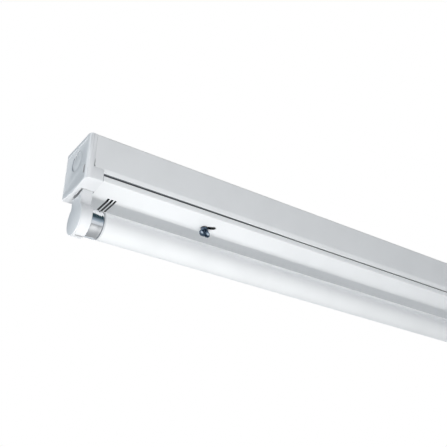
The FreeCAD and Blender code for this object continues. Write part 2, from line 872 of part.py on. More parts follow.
def ballast_board():
    """Circuit board on four posts under the top of the case, with its largest components."""
    half = ballast_width / 2 - ballast_sheet - board_margin
    start = ballast_start + ballast_port_depth + board_margin
    end = ballast_end - ballast_port_depth - board_margin
    roof = deck_z() - ballast_sheet
    face = roof - board_lift
    low = face - board_thickness
    run = end - start
    board = block(start, end, -half, half, low, face)
    posts = [block(x, x + post_width, y, y + post_width, face, roof)
             for x in (start, end - post_width) for y in (-half, half - post_width)]
    choke_start = start + choke_share * run
    choke = block(choke_start, choke_start + choke_length,
                  -choke_width / 2, choke_width / 2, low - choke_height, low)
    filter_start = start + filter_share * run
    line_filter = block(filter_start, filter_start + filter_length,
                        -choke_width / 2, choke_width / 2, low - filter_height, low)
    can_start = start + capacitor_share * run
    can = rod(capacitor_radius, Vector(can_start, 0, low - capacitor_radius), ALONG, capacitor_length)
    seat = block(can_start, can_start + capacitor_length, -capacitor_radius / 2,
                 capacitor_radius / 2, low - capacitor_radius, low)
    return board.fuse(posts + [choke, line_filter, can, seat])


def port_base():
    """Height of the terminal rows above the foot of the case."""
    return ballast_round


def port_hole_y(i):
    step = ballast_port_width / ballast_port_holes
    return (i + 0.5) * step - ballast_port_width / 2


def port_z():
    return deck_z() - ballast_height + port_base() + ballast_port_height / 2


def ballast_port(side):
    """Row of push-in terminals in one end of the ballast."""
    foot = deck_z() - ballast_height + port_base()
    mouth = ballast_start if side == LOW_SIDE else ballast_end
    back = mouth - side * (ballast_port_depth - ballast_port_gap)
    body = block(min(mouth, back), max(mouth, back), -ballast_port_width / 2,
                 ballast_port_width / 2, foot, foot + ballast_port_height)
    holes = [port(mouth, -side, port_hole_y(i), port_z()) for i in range(ballast_port_holes)]
    return body.cut(holes)


def port(mouth, way, y, z):
    """Square push-in hole for one wire, cut from a mouth towards +X or -X."""
    outer = mouth - way * overrun
    inner = mouth + way * port_hole_depth
    half = port_hole_width / 2
    return block(min(outer, inner), max(outer, inner), y - half, y + half, z - half, z + half)


def hexagon_radius(across_flats):
    return across_flats / math.sqrt(3)


def hexagon_screw(base, length):
    """Screw with a hexagon head below its seat and its shank above."""
    head = flat_sided(hexagon_radius(screw_head_flat), hexagon_sides, base,
                      -UP * screw_head_height)
    return head.fuse(flat_sided(screw_radius - running_clearance, screw_sides, base, UP * length))


def ballast_screws():
    seat = deck_z() - ballast_lug_thickness
    return Part.makeCompound([hexagon_screw(Vector(x, 0, seat), screw_length)
                              for x in ballast_screw_places()])


def pole_y(i):
    return (i - (block_poles - 1) / 2) * block_pitch


def terminal_block():
    """Push-in terminals: a stepped body with a release lever and two ports for each pole."""
    top = deck_z()
    half = block_length / 2
    width = block_pitch * block_poles / 2
    points = [Vector(block_x - half, -width, top), Vector(block_x + half, -width, top),
              Vector(block_x + half, -width, top - block_shoulder),
              Vector(block_x + block_ridge_half, -width, top - block_height),
              Vector(block_x - block_ridge_half, -width, top - block_height),
              Vector(block_x - half, -width, top - block_shoulder)]
    body = flat(points).extrude(ACROSS * 2 * width)
    levers = [block(block_x - block_lever_half, block_x + block_lever_half,
                    pole_y(i) - block_lever_half, pole_y(i) + block_lever_half,
                    top - block_height - block_lever_rise, top - block_height)
              for i in range(block_poles)]
    ports = [port(block_x + side * half, -side, pole_y(i), wire_z())
             for i in range(block_poles) for side in (LOW_SIDE, HIGH_SIDE)]
    return body.fuse(levers).cut(ports)


def wire_z():
    return deck_z() - block_wire_lift


def earth_stud():
    return rod(earth_stud_radius, Vector(earth_x, earth_y, -sheet), -UP, earth_stud_length)


def earth_ring():
    """Ring terminal on the end of the earth lead."""
    base = Vector(earth_x, earth_y, -sheet)
    down = -UP * earth_ring_thickness
    half = earth_ring_tail_width / 2
    tail = block(earth_x, earth_x + earth_ring_tail, earth_y - half, earth_y + half,
                 base.z + down.z, base.z)
    hole = rod(earth_stud_radius + running_clearance, base, -UP, earth_ring_thickness)
    return flat_sided(earth_ring_radius, earth_ring_sides, base, down).fuse(tail).cut(hole)


def earth_nut():
    top = Vector(earth_x, earth_y, -sheet - earth_ring_thickness)
    body = flat_sided(hexagon_radius(earth_nut_flat), hexagon_sides, top, -UP * earth_nut_height)
    return body.cut(rod(earth_stud_radius + running_clearance, top, -UP, earth_stud_length))


def wire_clips():
    """Open hooks under the back that carry the long leads."""
    inner = lead_row_y - wire_radius - seat_clearance - clip_wall
    outer = inner + clip_wall + clip_depth
    low = lead_row_drop + wire_radius + seat_clearance + clip_wall
    points = [section(inner, -sheet), section(inner, -low), section(outer, -low),
              section(outer, clip_rise - low)]
    face = sheet_face(points, [0, 0], clip_wall)
    return Part.makeCompound([along_x(face, x - clip_width / 2, x + clip_width / 2)
                              for x in clip_places])


def lamp_lead_start(side):
    """Top of a contact blade, where its lead begins."""
    mid = contact_front + contact_width / 2
    return Vector(end_x(mid), side * (duct_half - wire_radius - running_clearance),
                  tube_z + contact_top)


def left_lamp_leads():
    """From the far end of the ballast, back along the clips and down into the left neck."""
    rise = holder_foot_top - neck_lead_rise
    pieces = []
    for i, side in enumerate((LOW_SIDE, HIGH_SIDE)):
        start = lamp_lead_start(side)
        row = Vector(0, lead_row_y + i * lead_pitch, -lead_row_drop)
        port = Vector(ballast_end - port_hole_depth, port_hole_y(1 - i), port_z())
        turn = plate_end + lead_turn + i * lead_pitch
        points = [start, Vector(start.x, start.y, -rise),
                  Vector(end_x(left_spread_inset), (start.y + row.y) / 2, row.z - lead_pitch),
                  Vector(end_x(left_row_inset), row.y, row.z),
                  Vector(plate_end - lead_turn, row.y, row.z),
                  Vector(turn, (row.y + port.y) / 2, (row.z + port.z) / 2),
                  Vector(plate_end, port.y, port.z), port]
        pieces.append(lead(points))
    return Part.makeCompound(pieces)


def right_lamp_leads():
    """From the ballast straight on past the bracket and down into the right neck."""
    rise = holder_foot_top - neck_lead_rise
    pieces = []
    for i, side in enumerate((LOW_SIDE, HIGH_SIDE)):
        start = at_right(lamp_lead_start(side))
        port = Vector(ballast_end - port_hole_depth, port_hole_y(2 + i), port_z())
        points = [start, Vector(start.x, start.y, -rise),
                  Vector(-end_x(right_spread_inset), (start.y + port.y) / 2, port.z + lead_pitch),
                  Vector(fastener_spacing / 2 + right_straight_margin, port.y, port.z), port]
        pieces.append(lead(points))
    return Part.makeCompound(pieces)


def at_right(point):
    return Vector(-point.x, point.y, point.z)


def supply_lead(i):
    """Lead from one pole of the terminal block into the ballast."""
    mouth = block_x + block_length / 2
    gap = ballast_start - mouth
    points = [Vector(mouth - port_hole_depth, pole_y(i), wire_z()),
              Vector(mouth + gap * supply_first_share, pole_y(i), wire_z()),
              Vector(ballast_start - gap * supply_last_share, port_hole_y(i), port_z()),
              Vector(ballast_start + port_hole_depth, port_hole_y(i), port_z())]
    return lead(points)


def earth_lead():
    """From the earth pole of the block to the ring terminal on the stud."""
    mouth = block_x - block_length / 2
    tail = Vector(earth_x + earth_ring_tail, earth_y, -sheet - earth_ring_thickness / 2)
    outer = Vector(entry_x, -entry_hole_diameter / 2 - earth_lead_clearance, wire_z())
    points = [Vector(mouth + port_hole_depth, pole_y(0), wire_z()),
              Vector(mouth - port_hole_depth, pole_y(0), wire_z()),
              outer, Vector(tail.x + earth_lead_landing, earth_y - wire_radius, -earth_lead_drop),
              Vector(tail.x, earth_y, tail.z - wire_radius)]
    return lead(points)


def build():
    left_caps = {"end_cap": end_cap(), "lampholder_body": lampholder_body(),
                 "lampholder_back": lampholder_back(), "tube_ferrule": ferrule(),
                 "pin_insulator": pin_insulator(), "tube_pins": pins(),
                 "tube_stem": glass_stem(), "cathode": cathode(), "lamp_contacts": contacts()}
    nodes = {}
    for name, shape in left_caps.items():
        nodes[name + "_left"] = shape
        nodes[name + "_right"] = other_end(shape)
    for name, side in (("left", LOW_SIDE), ("right", HIGH_SIDE)):
        nodes["rotor_" + name] = rotor(side)
        nodes["wing_fastener_" + name] = seated(wing_fastener(), side)
        nodes["ballast_terminals_" + name] = ballast_port(side)
    nodes["fastener_bushes"] = Part.makeCompound([seated(fastener_bush(), side)
                                                  for side in (LOW_SIDE, HIGH_SIDE)])
    nodes.update({"spine": spine(), "gear_cover": gear_cover(), "cable_grommet": grommet(),
                  "cover_brackets": brackets(), "tube_glass": tube_glass(),
                  "gear_plate": gear_plate(), "ballast_case": ballast_case(),
                  "ballast_board": ballast_board(), "ballast_screws": ballast_screws(),
                  "terminal_block": terminal_block(), "earth_stud": earth_stud(),
                  "earth_ring": earth_ring(), "earth_nut": earth_nut(),
                  "wire_clips": wire_clips(), "lamp_leads_left": left_lamp_leads(),
                  "lamp_leads_right": right_lamp_leads(), "live_lead": supply_lead(2),
                  "neutral_lead": supply_lead(1), "ballast_earth_lead": supply_lead(0),
                  "earth_lead": earth_lead()})
    return nodes


os.makedirs("parts", exist_ok=True)
for node, shape in build().items():
    if not shape.isValid() or shape.Volume <= 0:
        print("check", node, shape.isValid(), shape.Volume)
    shape.exportStep("parts/" + node + ".step")
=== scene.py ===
import json
import math

import bpy
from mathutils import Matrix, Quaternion, Vector


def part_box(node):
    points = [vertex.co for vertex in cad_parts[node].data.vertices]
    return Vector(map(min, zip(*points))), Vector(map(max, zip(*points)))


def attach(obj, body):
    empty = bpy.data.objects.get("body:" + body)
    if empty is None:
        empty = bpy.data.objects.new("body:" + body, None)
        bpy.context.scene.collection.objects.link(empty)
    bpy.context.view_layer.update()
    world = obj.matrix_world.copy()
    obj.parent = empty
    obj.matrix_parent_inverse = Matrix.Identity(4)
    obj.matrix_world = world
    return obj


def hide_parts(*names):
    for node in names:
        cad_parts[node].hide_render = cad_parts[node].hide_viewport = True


# Looks of a white ceiling batten with one straight tube. Metres, +Z up, X along the tube.

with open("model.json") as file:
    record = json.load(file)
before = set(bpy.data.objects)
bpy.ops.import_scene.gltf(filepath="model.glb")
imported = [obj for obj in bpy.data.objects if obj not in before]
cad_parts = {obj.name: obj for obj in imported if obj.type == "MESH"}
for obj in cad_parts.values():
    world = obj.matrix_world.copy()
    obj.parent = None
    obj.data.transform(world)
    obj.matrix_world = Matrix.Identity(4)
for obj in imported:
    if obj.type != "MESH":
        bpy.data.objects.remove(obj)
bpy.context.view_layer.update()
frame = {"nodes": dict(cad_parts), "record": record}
nodes = frame["nodes"]
mm = 0.001

# Places taken from the fixture's own boxes
glass_low, glass_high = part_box("tube_glass")
ferrule_low, ferrule_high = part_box("tube_ferrule_left")
cap_low, cap_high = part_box("end_cap_left")
cover_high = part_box("gear_cover")[1]
spine_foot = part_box("spine")[0].z
wing_low, wing_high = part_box("wing_fastener_left")
tube_z = (glass_low.z + glass_high.z) / 2
tube_radius = (ferrule_high.z - ferrule_low.z) / 2
glass_edge = -ferrule_high.x
cap_high_x = -cap_low.x

# Places that the looks follow on the spine, the cover, the end caps and the fasteners
skirt_edge = 303.9 * mm
foot_edge = 294.2 * mm
step_z = -33.5 * mm
seam_inner = cover_high.y - 0.6 * mm
seam_low = -38.75 * mm
knockout_radius = 10 * mm
knockout_z = -17 * mm
ear_axis = -(wing_low.x + wing_high.x) / 2
ear_offset = 3.4 * mm
ear_z = wing_low.z + 3.4 * mm

# The plain bars on the cover's underside. The last line holds each one's middle and half width
bar_middle = 9.9 * mm
bar_half_length = 15.0 * mm
bar_slant = 0.11
bar_facing = -0.5
cover_bar_places = ((-277.6 * mm, 1.05 * mm), (-274.1 * mm, 1.05 * mm), (-270.8 * mm, 0.9 * mm))

# How far the thin lining, the painted shade and the painted light reach
clear_ring = (1.1 * mm, 0.5 * mm)
lining_fade = (2.7 * mm, 1.5 * mm)
lit_top_reach = (-2 * mm, 7 * mm)
seam_shade_fade = (-200 * mm, 0.0)
lip_shade_fade = (-300 * mm, -80 * mm)
lip_shade_height = 0.5 * mm
side_shade_fade = (-24 * mm, -29 * mm)
side_shade_width = 0.6 * mm
corner_shade_reach = 1.1 * mm
foot_shade_width = 0.9 * mm
cap_side_skin = 0.5 * mm
throat_height = 3.3 * mm
throat_bow = 0.145
cap_face_skin = 3 * mm
groove_reach = 0.75 * mm
groove_fade = (5 * mm, 9 * mm)
ear_highlight_reach = (0.7 * mm, 1.9 * mm)

# How much of it covers the finish below, where it is thickest
thin_amount = 0.5
clear_amount = 0.9
seam_amounts = (0.96, 0.72)
lip_amount = 0.85
side_amount = 0.8
corner_amount = 0.9
foot_amount = 0.85
groove_amount = 0.55
ear_highlight_amount = 0.9

# Its colours
bar_ink = (0.004, 0.004, 0.005)
painted_lit_lining = (0.96, 0.97, 0.98)
thin_lining = (0.42, 0.45, 0.47)
clear_end = (0.09, 0.11, 0.13)
seam_shade_colour = (0.03, 0.04, 0.05)
lip_shade_colour = (0.06, 0.075, 0.09)
joint_shade_colour = (0.05, 0.055, 0.06)
foot_shade_colour = (0.22, 0.24, 0.26)
gap_dark = (0.008, 0.010, 0.012)
groove_dark = (0.20, 0.24, 0.28)
ear_highlight_colour = (0.62, 0.72, 0.82)

# How the pieces are drawn
weld = 1e-6
loose_weld = 2e-6
flat_angle = math.radians(0.4)
smooth_angle = math.radians(38)
edge_angle = math.radians(35)
turning_steps = 128
disc_sides = 72
overrun = 2 * mm
glass_wall = 0.8 * mm
neck_step = 0.6 * mm
shoulder_round = 1.4 * mm
shoulder_flatness = 0.45
shoulder_inset = 0.2 * mm
shoulder_turns = (0.0, 0.4, 0.8, 1.2, math.pi / 2)
ferrule_wall = 0.3 * mm
panel_depth = 0.45 * mm
knockout_depth = 0.45 * mm
groove_depth = 0.9 * mm
groove_width = 0.8 * mm

# How far their edges are rounded, and in how many steps where the piece is seen from near
cap_edge = 0.3 * mm
holder_edge = 0.5 * mm
lid_edge = 0.3 * mm
rotor_edge = 0.25 * mm
wing_edge = 0.3 * mm
collar_edge = 0.25 * mm
wire_edge = 0.3 * mm
pin_edge = 0.3 * mm
pin_disc_edge = 0.15 * mm
near_steps = 3


# Modelling by hand


def clear_selection():
    if bpy.context.object and bpy.context.object.mode != "OBJECT":
        bpy.ops.object.mode_set(mode="OBJECT")
    bpy.ops.object.select_all(action="DESELECT")


def take(piece):
    """Makes one piece the only one selected, and active."""
    clear_selection()
    piece.select_set(True)
    bpy.context.view_layer.objects.active = piece


def named(name):
    """Names the piece that was made last, and its mesh."""
    piece = bpy.context.object
    piece.name = name
    piece.data.name = name
    return piece


def edit(piece, mode="FACE"):
    """Opens a piece in edit mode with all of it selected."""
    take(piece)
    bpy.ops.object.mode_set(mode="EDIT")
    bpy.ops.mesh.select_mode(type=mode)
    bpy.ops.mesh.select_all(action="SELECT")


def close_edit():
    bpy.ops.object.mode_set(mode="OBJECT")


def settle(piece):
    """Puts the place of a piece into its mesh, so that its object sits at the origin."""
    take(piece)
    bpy.ops.object.transform_apply(location=True, rotation=True, scale=True)
    return piece


def smooth(piece):
    take(piece)
    bpy.ops.object.shade_smooth_by_angle(angle=smooth_angle)


def apply_modifier(piece, kind, **settings):
    take(piece)
    modifier = piece.modifiers.new(kind.title(), kind)
    for key, value in settings.items():
        setattr(modifier, key, value)
    bpy.ops.object.modifier_apply(modifier=modifier.name)


def round_edges(piece, width, segments):
    """Rounds every sharp edge."""
    apply_modifier(piece, "BEVEL", width=width, segments=segments, limit_method="ANGLE",
                   angle_limit=edge_angle, use_clamp_overlap=True)
    smooth(piece)


def fair_normals(piece):
    """Joins the points that fall together and turns every face outwards."""
    edit(piece)
    bpy.ops.mesh.remove_doubles(threshold=weld)
    bpy.ops.mesh.normals_make_consistent(inside=False)
    close_edit()


def from_frame(name, node):
    """A piece that starts from the form of a CAD node, its loose triangles joined into faces."""
    piece = bpy.data.objects.new(name, nodes[node].data.copy())
    bpy.context.scene.collection.objects.link(piece)
    edit(piece)
    bpy.ops.mesh.remove_doubles(threshold=loose_weld)
    bpy.ops.mesh.dissolve_limited(angle_limit=flat_angle)
    close_edit()
    return piece


def turned(name, profile, start):
    """A turned piece: a line of points is extruded one by one and spun about the tube's axis.
    The profile holds (along, radius) pairs, measured from the start, and closes on itself."""
    along = Vector((1, 0, 0))
    out = Vector((0, 0, 1))
    centre = Vector((start, 0, tube_z))
    points = [centre + along * a + out * r for a, r in profile]
    clear_selection()
    bpy.ops.mesh.primitive_plane_add(size=mm, location=points[0])
    piece = settle(named(name))
    edit(piece, "VERT")
    bpy.ops.mesh.merge(type="CENTER")
    for here, after in zip(points, points[1:] + points[:1]):
        bpy.ops.mesh.extrude_region_move(TRANSFORM_OT_translate={"value": after - here})
    bpy.ops.mesh.select_all(action="SELECT")
    bpy.ops.mesh.remove_doubles(threshold=weld)
    bpy.ops.mesh.select_all(action="SELECT")
    bpy.ops.mesh.spin(steps=turning_steps, angle=2 * math.pi, center=centre, axis=along)
    close_edit()
    fair_normals(piece)
    smooth(piece)
    return piece


def cut(piece, cutter):
    """Takes one form out of another and throws the cutter away."""
    apply_modifier(piece, "BOOLEAN", operation="DIFFERENCE", solver="EXACT", object=cutter)
    bpy.data.objects.remove(cutter)


def at_other_end(piece, name):
    """A copy with its own mesh, turned half round about the upright middle line."""
    twin = piece.copy()
    twin.data = piece.data.copy()
    twin.name = name
    twin.data.name = name
    bpy.context.scene.collection.objects.link(twin)
    twin.rotation_euler.z = math.pi
    return settle(twin)


# Finishes

# What the shared patterns hand over, and the parts of their noise that they use
surface_outputs = (("Colour", "NodeSocketColor"), ("Roughness", "NodeSocketFloat"),
                   ("Height", "NodeSocketFloat"))
mottle_range = (0.35, 0.7)
gloss_range = (0.3, 0.7)
pore_size = 0.31
pore_height = 0.8
cloud_scale = 140.0

# Dust: the slope it lies on, its noise (scale, detail, roughness), its patches and its look
dust_slope = (0.35, 0.95)
dust_noise = (60.0, 5.0, 0.6)
dust_patches = (0.3, 0.75, 0.25, 1.0)
dust_dulling = 0.5
dust_grey = (0.42, 0.40, 0.37)


def new_group(name, inputs, outputs):
    """Empty shader group with named sockets."""
    group = bpy.data.node_groups.new(name, "ShaderNodeTree")
    for socket, kind, value in inputs:
        made = group.interface.new_socket(socket, in_out="INPUT", socket_type=kind)
        made.default_value = value
    for socket, kind in outputs:
        group.interface.new_socket(socket, in_out="OUTPUT", socket_type=kind)
    return group, group.nodes.new("NodeGroupInput"), group.nodes.new("NodeGroupOutput")


def add(tree, kind, **settings):
    node = tree.nodes.new(kind)
    for key, value in settings.items():
        setattr(node, key, value)
    return node


def feed(tree, socket, part):
    """Gives a socket a number, a colour or another node's output."""
    if isinstance(part, (int, float)):
        socket.default_value = part
    elif isinstance(part, tuple):
        socket.default_value = (*part, 1.0)
    else:
        tree.links.new(part, socket)


def noise(tree, place, scale, detail, roughness=0.5):
    node = add(tree, "ShaderNodeTexNoise")
    node.inputs["Detail"].default_value = detail
    node.inputs["Roughness"].default_value = roughness
    tree.links.new(place, node.inputs["Vector"])
    feed(tree, node.inputs["Scale"], scale)
    return node.outputs["Fac"]


def value_of(tree, operation, *parts):
    """Maths on numbers or sockets."""
    node = add(tree, "ShaderNodeMath", operation=operation)
    for socket, part in zip(node.inputs, parts):
        feed(tree, socket, part)
    return node.outputs[0]


def blend_colour(tree, share, first, second):
    node = add(tree, "ShaderNodeMix", data_type="RGBA", blend_type="MIX")
    sockets = [s for s in node.inputs if s.enabled]
    for socket, part in zip(sockets, (share, first, second)):
        feed(tree, socket, part)
    return [s for s in node.outputs if s.enabled][0]


def mix_shaders(tree, share, first, second):
    node = add(tree, "ShaderNodeMixShader")
    for socket, part in zip(node.inputs, (share, first, second)):
        feed(tree, socket, part)
    return node.outputs[0]


def remap(tree, source, low, high, to_low=0.0, to_high=1.0):
    """One range of values turned into another, with soft ends."""
    node = add(tree, "ShaderNodeMapRange", interpolation_type="SMOOTHSTEP")
    tree.links.new(source, node.inputs["Value"])
    keys = ("From Min", "From Max", "To Min", "To Max")
    for key, part in zip(keys, (low, high, to_low, to_high)):
        feed(tree, node.inputs[key], part)
    return node.outputs["Result"]


def parts_of(tree, vector):
    parts = add(tree, "ShaderNodeSeparateXYZ")
    tree.links.new(vector, parts.inputs[0])
    return parts.outputs["X"], parts.outputs["Y"], parts.outputs["Z"]


def own_place(tree):
    """A point's place on its own object."""
    return add(tree, "ShaderNodeTexCoord").outputs["Object"]


def place_of(tree):
    """The three parts of a point's own place."""
    return parts_of(tree, own_place(tree))


def facing_up(tree):
    """How far a point faces up, from 1 down to -1."""
    return parts_of(tree, add(tree, "ShaderNodeNewGeometry").outputs["Normal"])[2]


def hand_over(group, end, *results):
    """Connects a group's results to its outputs, in their order."""
    for result, socket in zip(results, end.inputs):
        group.links.new(result, socket)


def skin_group():
    """Fine surface of paint, plastic or rubber: mottled colour, grain and uneven gloss."""
    group, start, end = new_group("Skin", [
        ("Colour", "NodeSocketColor", (0.8, 0.8, 0.8, 1)),
        ("Shade", "NodeSocketColor", (0.7, 0.7, 0.7, 1)),
        ("Mottle Scale", "NodeSocketFloat", 30.0),
        ("Grain Scale", "NodeSocketFloat", 2500.0),
        ("Gloss Low", "NodeSocketFloat", 0.35),
        ("Gloss High", "NodeSocketFloat", 0.45)], surface_outputs)
    given = start.outputs
    place = own_place(group)
    mottle = noise(group, place, given["Mottle Scale"], 4.0)
    share = remap(group, mottle, *mottle_range)
    grain = noise(group, place, given["Grain Scale"], 1.0)
    pore_scale = value_of(group, "MULTIPLY", given["Grain Scale"], pore_size)
    pores = noise(group, place, pore_scale, 2.0)
    colour = blend_colour(group, share, given["Colour"], given["Shade"])
    gloss = remap(group, pores, *gloss_range, given["Gloss Low"], given["Gloss High"])
    height = value_of(group, "ADD", grain, value_of(group, "MULTIPLY", pores, pore_height))
    hand_over(group, end, colour, gloss, height)
    return group


def dust_group():
    """Thin grey dust on what faces up."""
    group, start, end = new_group("Dust", [
        ("Colour", "NodeSocketColor", (0.8, 0.8, 0.8, 1)),
        ("Roughness", "NodeSocketFloat", 0.4),
        ("Amount", "NodeSocketFloat", 0.3)], surface_outputs[:2])
    given = start.outputs
    up = remap(group, facing_up(group), *dust_slope)
    patches = remap(group, noise(group, own_place(group), *dust_noise), *dust_patches)
    lying = value_of(group, "MULTIPLY", up, patches)
    share = value_of(group, "MULTIPLY", lying, given["Amount"])
    colour = blend_colour(group, share, given["Colour"], dust_grey)
    dulling = value_of(group, "MULTIPLY", share, dust_dulling)
    hand_over(group, end, colour, value_of(group, "ADD", given["Roughness"], dulling))
    return group


def lines_group():
    """Fine lines of drawn or rolled metal, along one direction of a stretched pattern."""
    group, start, end = new_group("Lines", [
        ("Colour", "NodeSocketColor", (0.8, 0.8, 0.8, 1)),
        ("Shade", "NodeSocketColor", (0.6, 0.6, 0.6, 1)),
        ("Stretch", "NodeSocketVector", (1.0, 0.02, 0.02)),
        ("Scale", "NodeSocketFloat", 3000.0),
        ("Gloss Low", "NodeSocketFloat", 0.15),
        ("Gloss High", "NodeSocketFloat", 0.3)], surface_outputs)
    given = start.outputs
    place = own_place(group)
    mapped = add(group, "ShaderNodeMapping")
    group.links.new(place, mapped.inputs["Vector"])
    group.links.new(given["Stretch"], mapped.inputs["Scale"])
    fine = noise(group, mapped.outputs[0], given["Scale"], 2.0)
    wide = noise(group, place, cloud_scale, 3.0)
    share = remap(group, wide, *mottle_range)
    colour = blend_colour(group, share, given["Colour"], given["Shade"])
    gloss = remap(group, fine, *gloss_range, given["Gloss Low"], given["Gloss High"])
    hand_over(group, end, colour, gloss, fine)
    return group


skin = skin_group()
dust = dust_group()
lines = lines_group()


def finish(name, pattern, colour, shade, gloss, settings=None, bump=(0.1, 0.00002), dusty=0.0,
           shader=None):
    """A material: one of the shared patterns, maybe dust, and the shader's own constants."""
    material = bpy.data.materials.new(name)
    material.use_nodes = True
    tree = material.node_tree
    surface = tree.nodes["Principled BSDF"]
    body = add(tree, "ShaderNodeGroup", node_tree=pattern)
    body.name = "Pattern"
    body.inputs["Colour"].default_value = (*colour, 1.0)
    body.inputs["Shade"].default_value = (*shade, 1.0)
    body.inputs["Gloss Low"].default_value = gloss[0]
    body.inputs["Gloss High"].default_value = gloss[1]
    for key, value in (settings or {}).items():
        body.inputs[key].default_value = value
    colour_out, rough_out = body.outputs["Colour"], body.outputs["Roughness"]
    if dusty:
        layer = add(tree, "ShaderNodeGroup", node_tree=dust)
        layer.name = "Dust"
        layer.inputs["Amount"].default_value = dusty
        tree.links.new(colour_out, layer.inputs["Colour"])
        tree.links.new(rough_out, layer.inputs["Roughness"])
        colour_out, rough_out = layer.outputs["Colour"], layer.outputs["Roughness"]
    relief = add(tree, "ShaderNodeBump")
    relief.inputs["Strength"].default_value = bump[0]
    relief.inputs["Distance"].default_value = bump[1]
    tree.links.new(body.outputs["Height"], relief.inputs["Height"])
    tree.links.new(relief.outputs["Normal"], surface.inputs["Normal"])
    tree.links.new(colour_out, surface.inputs["Base Color"])
    tree.links.new(rough_out, surface.inputs["Roughness"])
    for key, value in (shader or {}).items():
        surface.inputs[key].default_value = value
    return material


def repaint(material, make):
    """Passes the colour that a material already has through one more step."""
    tree = material.node_tree
    painted = tree.nodes["Principled BSDF"].inputs["Base Color"]
    tree.links.new(make(tree, painted.links[0].from_socket), painted)


def all_of(tree, *masks):
    """Where every one of some masks holds."""
    total = masks[0]
    for mask in masks[1:]:
        total = value_of(tree, "MULTIPLY", total, mask)
    return total


def bar_mask(tree):
    """Where three plain bars are printed across the cover near its left end."""
    x, y, _ = place_of(tree)
    below = value_of(tree, "LESS_THAN", facing_up(tree), bar_facing)
    across = value_of(tree, "COMPARE", y, bar_middle, bar_half_length)
    lean = value_of(tree, "MULTIPLY", value_of(tree, "MAXIMUM", y, 0.0), bar_slant)
    along = value_of(tree, "SUBTRACT", x, lean)
    total = None
    for middle, half in cover_bar_places:
        one = value_of(tree, "COMPARE", along, middle, half)
        total = one if total is None else value_of(tree, "MAXIMUM", total, one)
    return all_of(tree, total, across, below)


def cover_bars(tree, colour):
    """The bars in a dense black ink that takes the shine off the paint."""
    mask = bar_mask(tree)
    tree.links.new(mask, tree.nodes["Principled BSDF"].inputs["Metallic"])
    return blend_colour(tree, mask, colour, bar_ink)


def powder_ends(tree, colour):
    """The lining of the tube thins to clear glass in a narrow ring beside each metal cap."""
    x, _, z = place_of(tree)
    along = value_of(tree, "ABSOLUTE", x)
    fade, ring = [[glass_edge - reach for reach in pair] for pair in (lining_fade, clear_ring)]
    pale = remap(tree, along, *fade, 0.0, thin_amount)
    dark = remap(tree, along, *ring, 0.0, clear_amount)
    # Painted light: the lining is painted whiter along the top of the tube
    top_lift = remap(tree, z, *[tube_z + height for height in lit_top_reach])
    lining = blend_colour(tree, top_lift, colour, painted_lit_lining)
    return blend_colour(tree, dark, blend_colour(tree, pale, lining, thin_lining), clear_end)


def seam_shade(tree, colour):
    """Painted shade deep in the seam under the spine, on the cover's upright edges."""
    x, y, z = place_of(tree)
    inside = value_of(tree, "LESS_THAN", value_of(tree, "ABSOLUTE", y), seam_inner)
    above = value_of(tree, "GREATER_THAN", z, seam_low)
    amount = remap(tree, x, *seam_shade_fade, *seam_amounts)
    return blend_colour(tree, all_of(tree, inside, above, amount), colour, seam_shade_colour)


def lip_shade(tree, colour):
    """The same painted shade on the last of the spine's lip, thicker towards the left end."""
    x, _, z = place_of(tree)
    reach = remap(tree, x, *lip_shade_fade, lip_shade_height, 0.0)
    below = value_of(tree, "LESS_THAN", z, value_of(tree, "ADD", reach, spine_foot))
    return blend_colour(tree, all_of(tree, below, lip_amount), colour, lip_shade_colour)


def joint_shade(tree, colour):
    """Painted shade on the spine's side, beside the edge of each end cap and in the corner of its
    step.
    """
    x, y, z = place_of(tree)
    out = value_of(tree, "ABSOLUTE", x)
    side = value_of(tree, "GREATER_THAN", value_of(tree, "ABSOLUTE", y), cap_high.y - cap_side_skin)
    low = remap(tree, z, *side_shade_fade, 0.0, side_amount)
    beside = value_of(tree, "GREATER_THAN", out, skirt_edge - side_shade_width)
    line = all_of(tree, beside, side, low)
    corner = all_of(tree, value_of(tree, "GREATER_THAN", out, skirt_edge - corner_shade_reach),
                    value_of(tree, "LESS_THAN", z, step_z + corner_shade_reach), corner_amount)
    return blend_colour(tree, value_of(tree, "MAXIMUM", line, corner), colour, joint_shade_colour)


def foot_shade(tree, colour):
    """A thin line of painted shade on the cover along the edge of each end cap's foot."""
    x, _, _ = place_of(tree)
    beside = value_of(tree, "GREATER_THAN", value_of(tree, "ABSOLUTE", x), foot_edge - foot_shade_width)
    return blend_colour(tree, all_of(tree, beside, foot_amount), colour, foot_shade_colour)


def throat_shade(tree, colour):
    """Painted shade on each lampholder's lid, right under the edge of the opening it comes out of.
    """
    _, y, z = place_of(tree)
    edge = value_of(tree, "MULTIPLY_ADD", value_of(tree, "ABSOLUTE", y), throat_bow,
                    cap_low.z - throat_height)
    mask = value_of(tree, "GREATER_THAN", z, edge)
    # Fully metallic there, so that the painted shade shows no reflection either
    tree.links.new(mask, tree.nodes["Principled BSDF"].inputs["Metallic"])
    return blend_colour(tree, mask, colour, gap_dark)


def reach_from(tree, first, first_centre, second, second_centre):
    """Distance of a point from an axis, seen square to it."""
    one = value_of(tree, "SUBTRACT", first, first_centre)
    two = value_of(tree, "SUBTRACT", second, second_centre)
    return value_of(tree, "SQRT", value_of(tree, "ADD", value_of(tree, "MULTIPLY", one, one),
                                           value_of(tree, "MULTIPLY", two, two)))


def groove_shade(tree, colour):
    """Shade in the far half of the knock-out's groove on the end face of each cap."""
    x, y, z = place_of(tree)
    out = value_of(tree, "ABSOLUTE", x)
    face = value_of(tree, "GREATER_THAN", out, cap_high_x - cap_face_skin)
    reach = reach_from(tree, y, 0.0, z, knockout_z)
    ring = value_of(tree, "COMPARE", reach, knockout_radius, groove_reach)
    far = remap(tree, y, *groove_fade, 0.0, groove_amount)
    return blend_colour(tree, all_of(tree, face, ring, far), colour, groove_dark)


